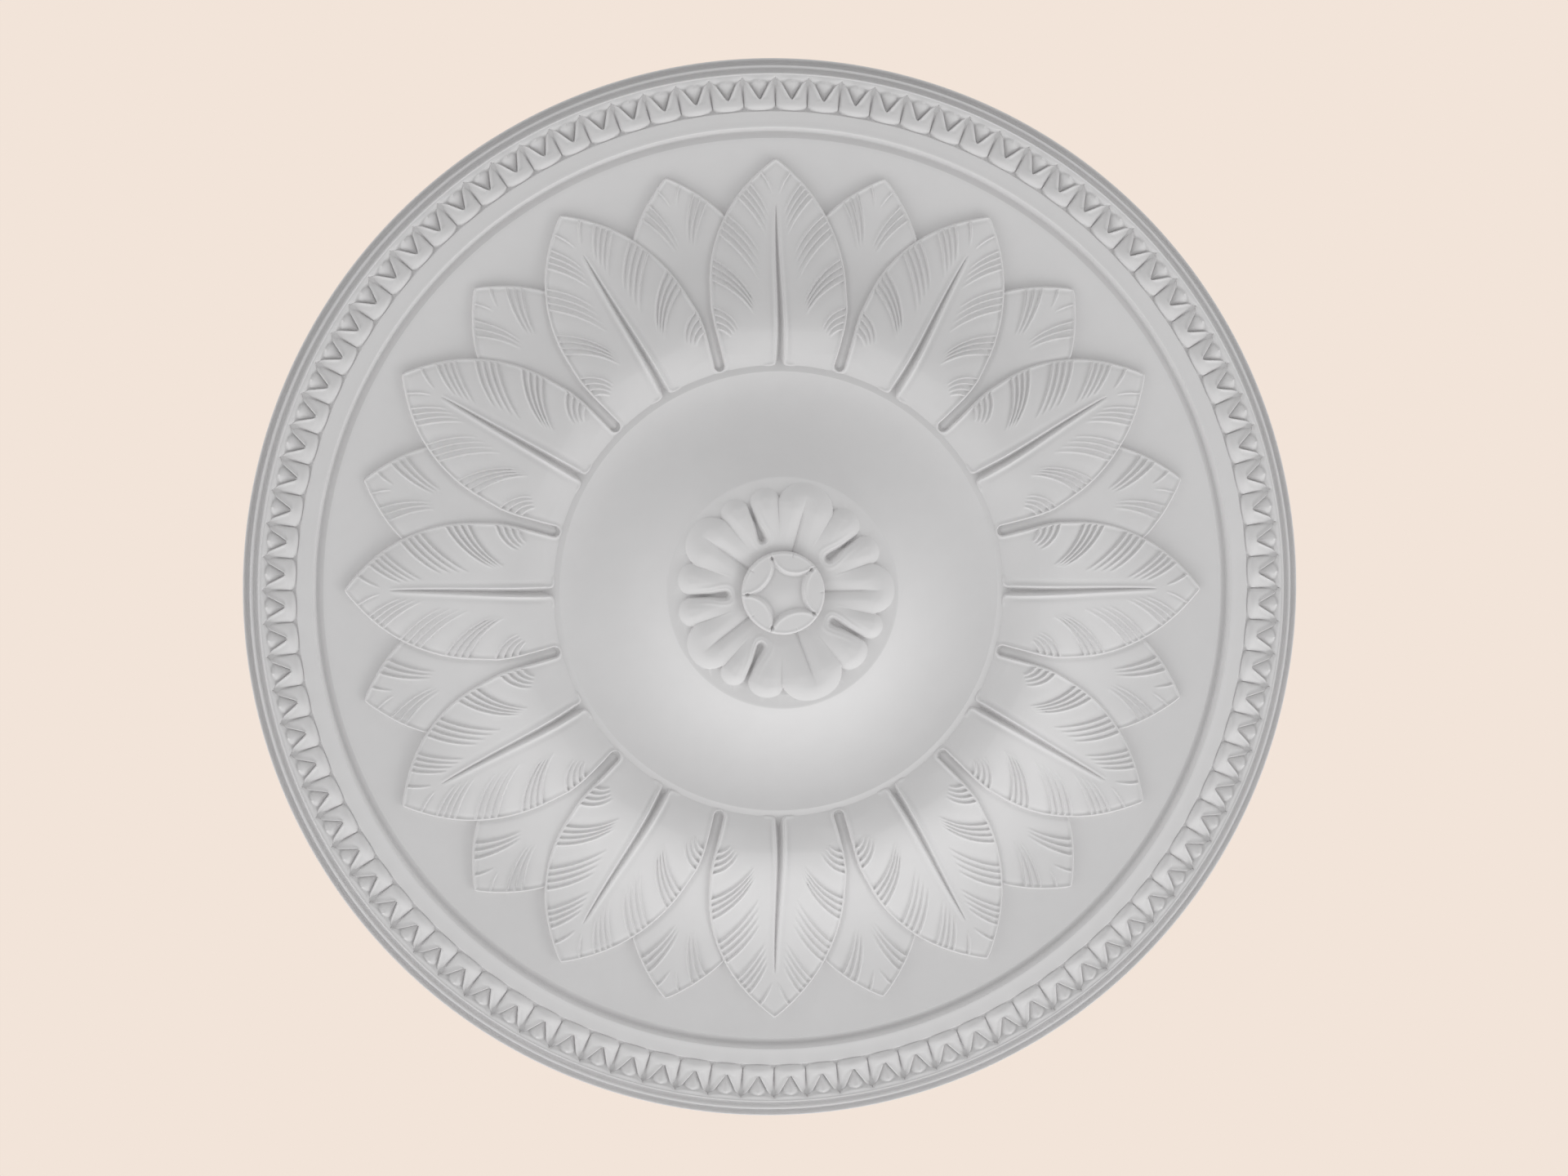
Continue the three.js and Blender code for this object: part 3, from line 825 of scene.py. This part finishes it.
def lobes_height(angle, radius):
    """Height over the disc of the broad lobe of a petal and the narrow ones at its sides."""
    inner = PETAL_RISE - 7.2 * (np.clip(PETAL_CREST - radius, 0, None) / 30) ** 1.6
    outer = PETAL_RISE - 3.9 * (np.clip(radius - PETAL_CREST, 0, None) / 20) ** 1.5
    rise = np.where(radius < PETAL_CREST, inner, outer)
    parted = smooth((radius - 36) / 28)
    broad = lobe_inset(radius * np.radians(angle), radius, 64.0, 79.8, 17.2)
    narrow = lobe_inset(radius * np.radians(angle - 25.6), radius, 66.0, 75.8, 9.2)
    broad_height = rise - parted * 3.0 * np.clip(1 - broad / 11, 0, 1) ** 1.9
    narrow_height = rise - parted * (0.6 + 3.7 * np.clip(1 - narrow / 8.5, 0, 1) ** 1.7)
    broad_height = broad_height - 6 * parted * smooth((0.2 - broad) / 1.2)
    narrow_height = narrow_height - 6 * parted * smooth((0.2 - narrow) / 1.2)
    crease = 0.3
    return crease * np.logaddexp(broad_height / crease, narrow_height / crease) - 0.2


def rosette_depth(azimuth, radius):
    """Five petals, each a broad lobe that laps over two narrow ones, hollowed towards the button."""
    angle = np.abs(petal_angle(azimuth, VEIN_AZIMUTHS, GAP_AZIMUTHS))
    height = lobes_height(angle, radius)
    # around the lobes lies the disc, and between two petals it sinks a little
    level = -1.5 * smooth((72 - radius) / 10) - 2.0 * smooth((58 - radius) / 8)
    height = np.where(radius > 50, np.maximum(height, level), height)
    height = height - 0.4 * smooth((radius - 79.4) / 1.2)
    # the vein down the middle of the petal
    across = radius * np.radians(angle)
    valley = 2.7 * np.clip(1 - across / 8.5, 0, 1) ** 1.8 + 0.7 * np.clip(1 - across / 1.6, 0, 1)
    height = height - smooth((72 - radius) / 20) * valley
    # the gap between two petals, with a round inner end and soft lips
    from_gap = radius * np.radians(36 - angle)
    head = np.hypot(from_gap, np.clip(GAP_HEAD - radius, 0, None)) - GAP_HALF_WIDTHS[1]
    inset = np.where(radius < GAP_HEAD, head, from_gap - np.interp(radius, GAP_RADII, GAP_HALF_WIDTHS))
    near = smooth((70 - radius) / 18)
    sunk = 3.0 * np.clip(1 - inset / 3.4, 0, 1) ** 1.7
    height = height - near * (sunk - 0.6 * bump(inset, 2.2, 0.9))
    height = height + near * 0.5 * bump(inset, 4.8, 1.3)
    height = mix(height, GAP_FLOOR, smooth((0.4 - inset) / 1.5) * smooth((62 - radius) / 12))
    return DISC_TOP + np.clip(height, -4.0, 6.4)


def lay_round(piece, turn, radius, depth):
    """Lays a sheet once round, by its azimuths in degrees, and selects its open borders."""
    write_turned(piece, np.radians(turn), radius, depth)
    select_only(piece)
    bpy.ops.object.mode_set(mode="EDIT")
    bpy.ops.mesh.select_all(action="SELECT")
    bpy.ops.mesh.remove_doubles(threshold=1e-6)
    bpy.ops.mesh.select_mode(type="EDGE")
    bpy.ops.mesh.select_all(action="DESELECT")
    bpy.ops.mesh.select_non_manifold()


def make_rosette(triangles=105000):
    columns, rows = 1000, 130
    piece, column, row = add_sheet("rosette", columns, rows)
    turn = column / (columns - 1) * 360.0
    radius = mix(26.0, 80.6, np.clip((row - 1) / (rows - 3), 0, 1))
    border = (row == 0) | (row == rows - 1)
    depth = np.where(border, ROSETTE_UNDERSIDE, rosette_depth(turn, radius))
    lay_round(piece, turn, radius, depth)
    bpy.ops.mesh.bridge_edge_loops()
    bpy.ops.object.mode_set(mode="OBJECT")
    thin_out(piece, triangles)
    return piece


def button_depth(azimuth, radius):
    """Five scallops from the rim inwards, round a sunken star with drilled points."""
    angle = petal_angle(azimuth, VEIN_AZIMUTHS, STAR_AZIMUTHS)
    turn = np.radians(angle)
    x, y = radius * np.cos(turn), radius * np.sin(turn)
    inside = SCALLOP_RADIUS - np.hypot(x - SCALLOP_CENTRE, y)
    dome = BUTTON_DEPTH - 0.35 - 0.0018 * radius ** 2
    star = BUTTON_DEPTH - 4.4 + 2.6 * bump(radius, 0, 11.5)
    raised = dome + 0.5 * bump(inside, 1.2, 1.0) - 0.9 * quarter_round(inside, 1.0)
    sunken = star - 0.5 * bump(inside, -1.6, 1.1)
    depth = mix(sunken, raised, smooth(inside / 2.6 + 0.8))
    nick = 0.6 * np.clip(1 - np.abs(y) / 0.8, 0, 1) * smooth((radius - 24.5) / 3)
    from_point = np.radians(36 - np.abs(angle))
    hole = np.hypot(radius * np.sin(from_point), radius * np.cos(from_point) - 25.6)
    depth = depth - nick - 1.7 * smooth((2.0 - hole) / 1.3)
    inset = BUTTON_RADIUS - radius
    return depth + 0.3 * bump(inset, 1.6, 0.8) - 2.0 * np.clip(1 - inset / 1.4, 0, 1) ** 2.4


def make_button(triangles=22000):
    columns, rows = 420, 78
    piece, column, row = add_sheet("button", columns, rows)
    turn = column / (columns - 1) * 360.0
    radius = mix(0.0, BUTTON_RADIUS, np.clip(row / (rows - 2), 0, 1))
    centre = float(button_depth(np.zeros(1), np.zeros(1))[0])
    depth = np.where(row == 0, centre, button_depth(turn, radius))
    depth = np.where(row == rows - 1, ROSETTE_UNDERSIDE, depth)
    lay_round(piece, turn, radius, depth)
    bpy.ops.mesh.edge_face_add()
    bpy.ops.object.mode_set(mode="OBJECT")
    thin_out(piece, triangles)
    return piece


# Settings

class RoseSizes(bpy.types.PropertyGroup):
    leaf_count: bpy.props.IntProperty(
        name="Leaves", description="Leaves in the front row; the back row has as many", default=12, min=6)
    tongue_count: bpy.props.IntProperty(
        name="Tongues", description="Tongues in the rim band", default=96, min=12)


class RoseFinish(bpy.types.PropertyGroup):
    colour: bpy.props.FloatVectorProperty(
        name="Colour", description="Colour of the paint", subtype="COLOR", size=3,
        default=(0.757, 0.749, 0.75))
    roughness: bpy.props.FloatProperty(
        name="Roughness", description="How matt the paint is", default=0.62, min=0, max=1, subtype="FACTOR")
    mottle: bpy.props.FloatProperty(
        name="Mottle", description="How much the tone changes over the paint", default=0.05, min=0, max=1)
    grain: bpy.props.FloatProperty(
        name="Grain", description="Strength of the fine grain", default=0.25, min=0, max=1, subtype="FACTOR")


class RoseStage(bpy.types.PropertyGroup):
    backdrop: bpy.props.FloatVectorProperty(
        name="Backdrop", description="Colour behind the rose", subtype="COLOR", size=3,
        default=(0.888, 0.776, 0.694))
    ambient: bpy.props.FloatProperty(
        name="Ambient", description="Strength of the soft light from all round", default=1.33, min=0)
    side: bpy.props.FloatProperty(
        name="Side", description="Azimuth in degrees that most of the light comes from", default=190)
    one_sided: bpy.props.FloatProperty(
        name="One-sided", description="How much more light comes from that side", default=0.47, min=0, max=1,
        subtype="FACTOR")
    even: bpy.props.FloatProperty(
        name="Even", description="Share of the light that comes from everywhere alike", default=0.16,
        min=0)
    key: bpy.props.FloatProperty(
        name="Key", description="Power of the soft key light", default=9, min=0, unit="POWER")
    distance: bpy.props.FloatProperty(
        name="Distance", description="Camera distance below the ceiling", default=2.6, min=0.5, unit="LENGTH",
        subtype="DISTANCE")


# Stage

def make_world(stage):
    """Soft light from all round, strongest low down and on one side, behind a plain backdrop."""
    world = bpy.data.worlds.new("Backdrop")
    bpy.context.scene.world = world
    world.use_nodes = True
    tree = world.node_tree
    tree.nodes.clear()
    output = tree.nodes.new("ShaderNodeOutputWorld")
    seen = tree.nodes.new("ShaderNodeBackground")
    seen.inputs["Color"].default_value = (*stage.backdrop, 1)
    light = tree.nodes.new("ShaderNodeBackground")
    direction = tree.nodes.new("ShaderNodeTexCoord").outputs["Generated"]
    parts = tree.nodes.new("ShaderNodeSeparateXYZ")
    tree.links.new(direction, parts.inputs[0])
    towards = tree.nodes.new("ShaderNodeVectorMath")
    towards.operation = "DOT_PRODUCT"
    azimuth = math.radians(stage.side)
    towards.inputs[1].default_value = (math.sin(azimuth), -math.cos(azimuth), 0)
    tree.links.new(direction, towards.inputs[0])
    leaning = maths(tree, "MULTIPLY", towards.outputs["Value"], stage.one_sided)
    one_sided = maths(tree, "ADD", leaning, 1.0)
    # strongest a little below the horizon, and falling off faster above it
    height = maths(tree, "ADD", parts.outputs["Z"], 0.1)
    behind = maths(tree, "MULTIPLY", maths(tree, "GREATER_THAN", height, 0.0), 2.2)
    spread = maths(tree, "MULTIPLY", height, maths(tree, "ADD", behind, 1.45))
    low = maths(tree, "EXPONENT", maths(tree, "MULTIPLY", maths(tree, "MULTIPLY", spread, spread), -1.0))
    band = maths(tree, "MULTIPLY", one_sided, low)
    total = maths(tree, "ADD", band, stage.even)
    tree.links.new(maths(tree, "MULTIPLY", total, stage.ambient), light.inputs["Strength"])
    path = tree.nodes.new("ShaderNodeLightPath")
    choice = tree.nodes.new("ShaderNodeMixShader")
    tree.links.new(path.outputs["Is Camera Ray"], choice.inputs["Fac"])
    tree.links.new(light.outputs[0], choice.inputs[1])
    tree.links.new(seen.outputs[0], choice.inputs[2])
    tree.links.new(choice.outputs[0], output.inputs["Surface"])


def make_floor():
    bpy.ops.object.select_all(action="DESELECT")
    bpy.ops.mesh.primitive_plane_add(size=60, location=(0, 0, -2.9))
    floor = bpy.context.active_object
    floor.name = "floor"
    material = bpy.data.materials.new("Pale floor")
    material.use_nodes = True
    shader = material.node_tree.nodes["Principled BSDF"]
    shader.inputs["Base Color"].default_value = (0.82, 0.76, 0.70, 1)
    shader.inputs["Roughness"].default_value = 0.8
    # it glows a little, so that it is as pale as the backdrop, and throws no light on the rose
    shader.inputs["Emission Color"].default_value = (0.64, 0.54, 0.475, 1)
    shader.inputs["Emission Strength"].default_value = 1
    floor.data.materials.append(material)
    floor.visible_diffuse = False
    floor.visible_glossy = False
    floor.visible_shadow = False


def make_light(name, direction, distance, size, power):
    data = bpy.data.lights.new(name, "AREA")
    data.shape, data.size, data.energy = "DISK", size, power
    light = bpy.data.objects.new(name, data)
    bpy.context.collection.objects.link(light)
    light.location = Vector(direction).normalized() * distance
    light.rotation_euler = Vector(direction).to_track_quat("Z", "Y").to_euler()
    light.visible_camera = False
    return light


def make_camera(stage):
    """Looks up from the left of the rose's top, half turned towards it, with the rest as shift."""
    slope = Vector((0.1095, 0.0498))
    tilt_share = 0.5
    data = bpy.data.cameras.new("Camera")
    camera = bpy.data.objects.new("Camera", data)
    bpy.context.collection.objects.link(camera)
    foot = -slope * stage.distance
    back = Vector((foot.x * tilt_share, foot.y * tilt_share, -stage.distance)).normalized()
    right = Vector((0, -1, 0)).cross(back).normalized()
    turn = Matrix((right, back.cross(right), back)).transposed().to_4x4()
    camera.matrix_world = Matrix.Translation((foot.x, foot.y, -stage.distance)) @ turn
    data.sensor_width = 36
    data.lens = 32.083 * stage.distance
    data.shift_x, data.shift_y = 0.133, -0.057
    bpy.context.scene.camera = camera


# Operators

class ROSE_OT_body(bpy.types.Operator):
    """Spin the rim, field, ground, hollow ring and disc, with the flat back"""
    bl_idname = "rose.body"
    bl_label = "Body"

    def execute(self, context):
        piece = make_body()
        finish_piece(piece, 30)
        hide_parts(NODE)
        return {"FINISHED"}


class ROSE_OT_tongues(bpy.types.Operator):
    """Carve one tongue with its dart and repeat it round the rim"""
    bl_idname = "rose.tongues"
    bl_label = "Tongues and darts"

    def execute(self, context):
        finish_piece(make_tongue_band())
        return {"FINISHED"}


class ROSE_OT_back_leaves(bpy.types.Operator):
    """Carve the back row of leaves"""
    bl_idname = "rose.back_leaves"
    bl_label = "Back leaves"

    def execute(self, context):
        for leaf in make_back_leaves():
            finish_piece(leaf)
        return {"FINISHED"}


class ROSE_OT_front_leaves(bpy.types.Operator):
    """Carve the front row of leaves"""
    bl_idname = "rose.front_leaves"
    bl_label = "Front leaves"

    def execute(self, context):
        for leaf in make_front_leaves():
            finish_piece(leaf)
        return {"FINISHED"}


class ROSE_OT_rosette(bpy.types.Operator):
    """Carve the five petals of the rosette"""
    bl_idname = "rose.rosette"
    bl_label = "Rosette"

    def execute(self, context):
        finish_piece(make_rosette())
        return {"FINISHED"}


class ROSE_OT_button(bpy.types.Operator):
    """Carve the button with its sunken star"""
    bl_idname = "rose.button"
    bl_label = "Button"

    def execute(self, context):
        finish_piece(make_button())
        return {"FINISHED"}


class ROSE_OT_stage(bpy.types.Operator):
    """Set up the floor, the light and the camera"""
    bl_idname = "rose.stage"
    bl_label = "Stage"

    def execute(self, context):
        stage = context.scene.rose_stage
        context.scene.view_settings.view_transform = "Standard"
        make_world(stage)
        make_floor()
        make_light("Key light", (0.75, 0.50, -0.40), 3.0, 1.2, stage.key)
        make_light("Top light", (-0.3, -0.4, 1.0), 4.0, 3.0, 120)
        make_camera(stage)
        return {"FINISHED"}


class ROSE_PT_panel(bpy.types.Panel):
    """Settings and steps of the rose"""
    bl_label = "Ceiling Rose"
    bl_idname = "ROSE_PT_panel"
    bl_space_type = "VIEW_3D"
    bl_region_type = "UI"
    bl_category = "Rose"

    def draw(self, context):
        for settings in (context.scene.rose_sizes, context.scene.rose_finish, context.scene.rose_stage):
            for name in settings.__annotations__:
                self.layout.prop(settings, name)
        for step in STEPS:
            self.layout.operator(step.bl_idname)


STEPS = (ROSE_OT_body, ROSE_OT_tongues, ROSE_OT_back_leaves, ROSE_OT_front_leaves, ROSE_OT_rosette,
         ROSE_OT_button, ROSE_OT_stage)
SETTINGS = {"rose_sizes": RoseSizes, "rose_finish": RoseFinish, "rose_stage": RoseStage}


def register():
    for kind in (*SETTINGS.values(), *STEPS, ROSE_PT_panel):
        bpy.utils.register_class(kind)
    for name, kind in SETTINGS.items():
        setattr(bpy.types.Scene, name, bpy.props.PointerProperty(type=kind))


def unregister():
    for name in SETTINGS:
        delattr(bpy.types.Scene, name)
    for kind in reversed((*SETTINGS.values(), *STEPS, ROSE_PT_panel)):
        bpy.utils.unregister_class(kind)


def main():
    register()
    bpy.ops.rose.body()
    bpy.ops.rose.tongues()
    bpy.ops.rose.back_leaves()
    bpy.ops.rose.front_leaves()
    bpy.ops.rose.rosette()
    bpy.ops.rose.button()
    bpy.ops.rose.stage()


if __name__ == "__main__":
    main()
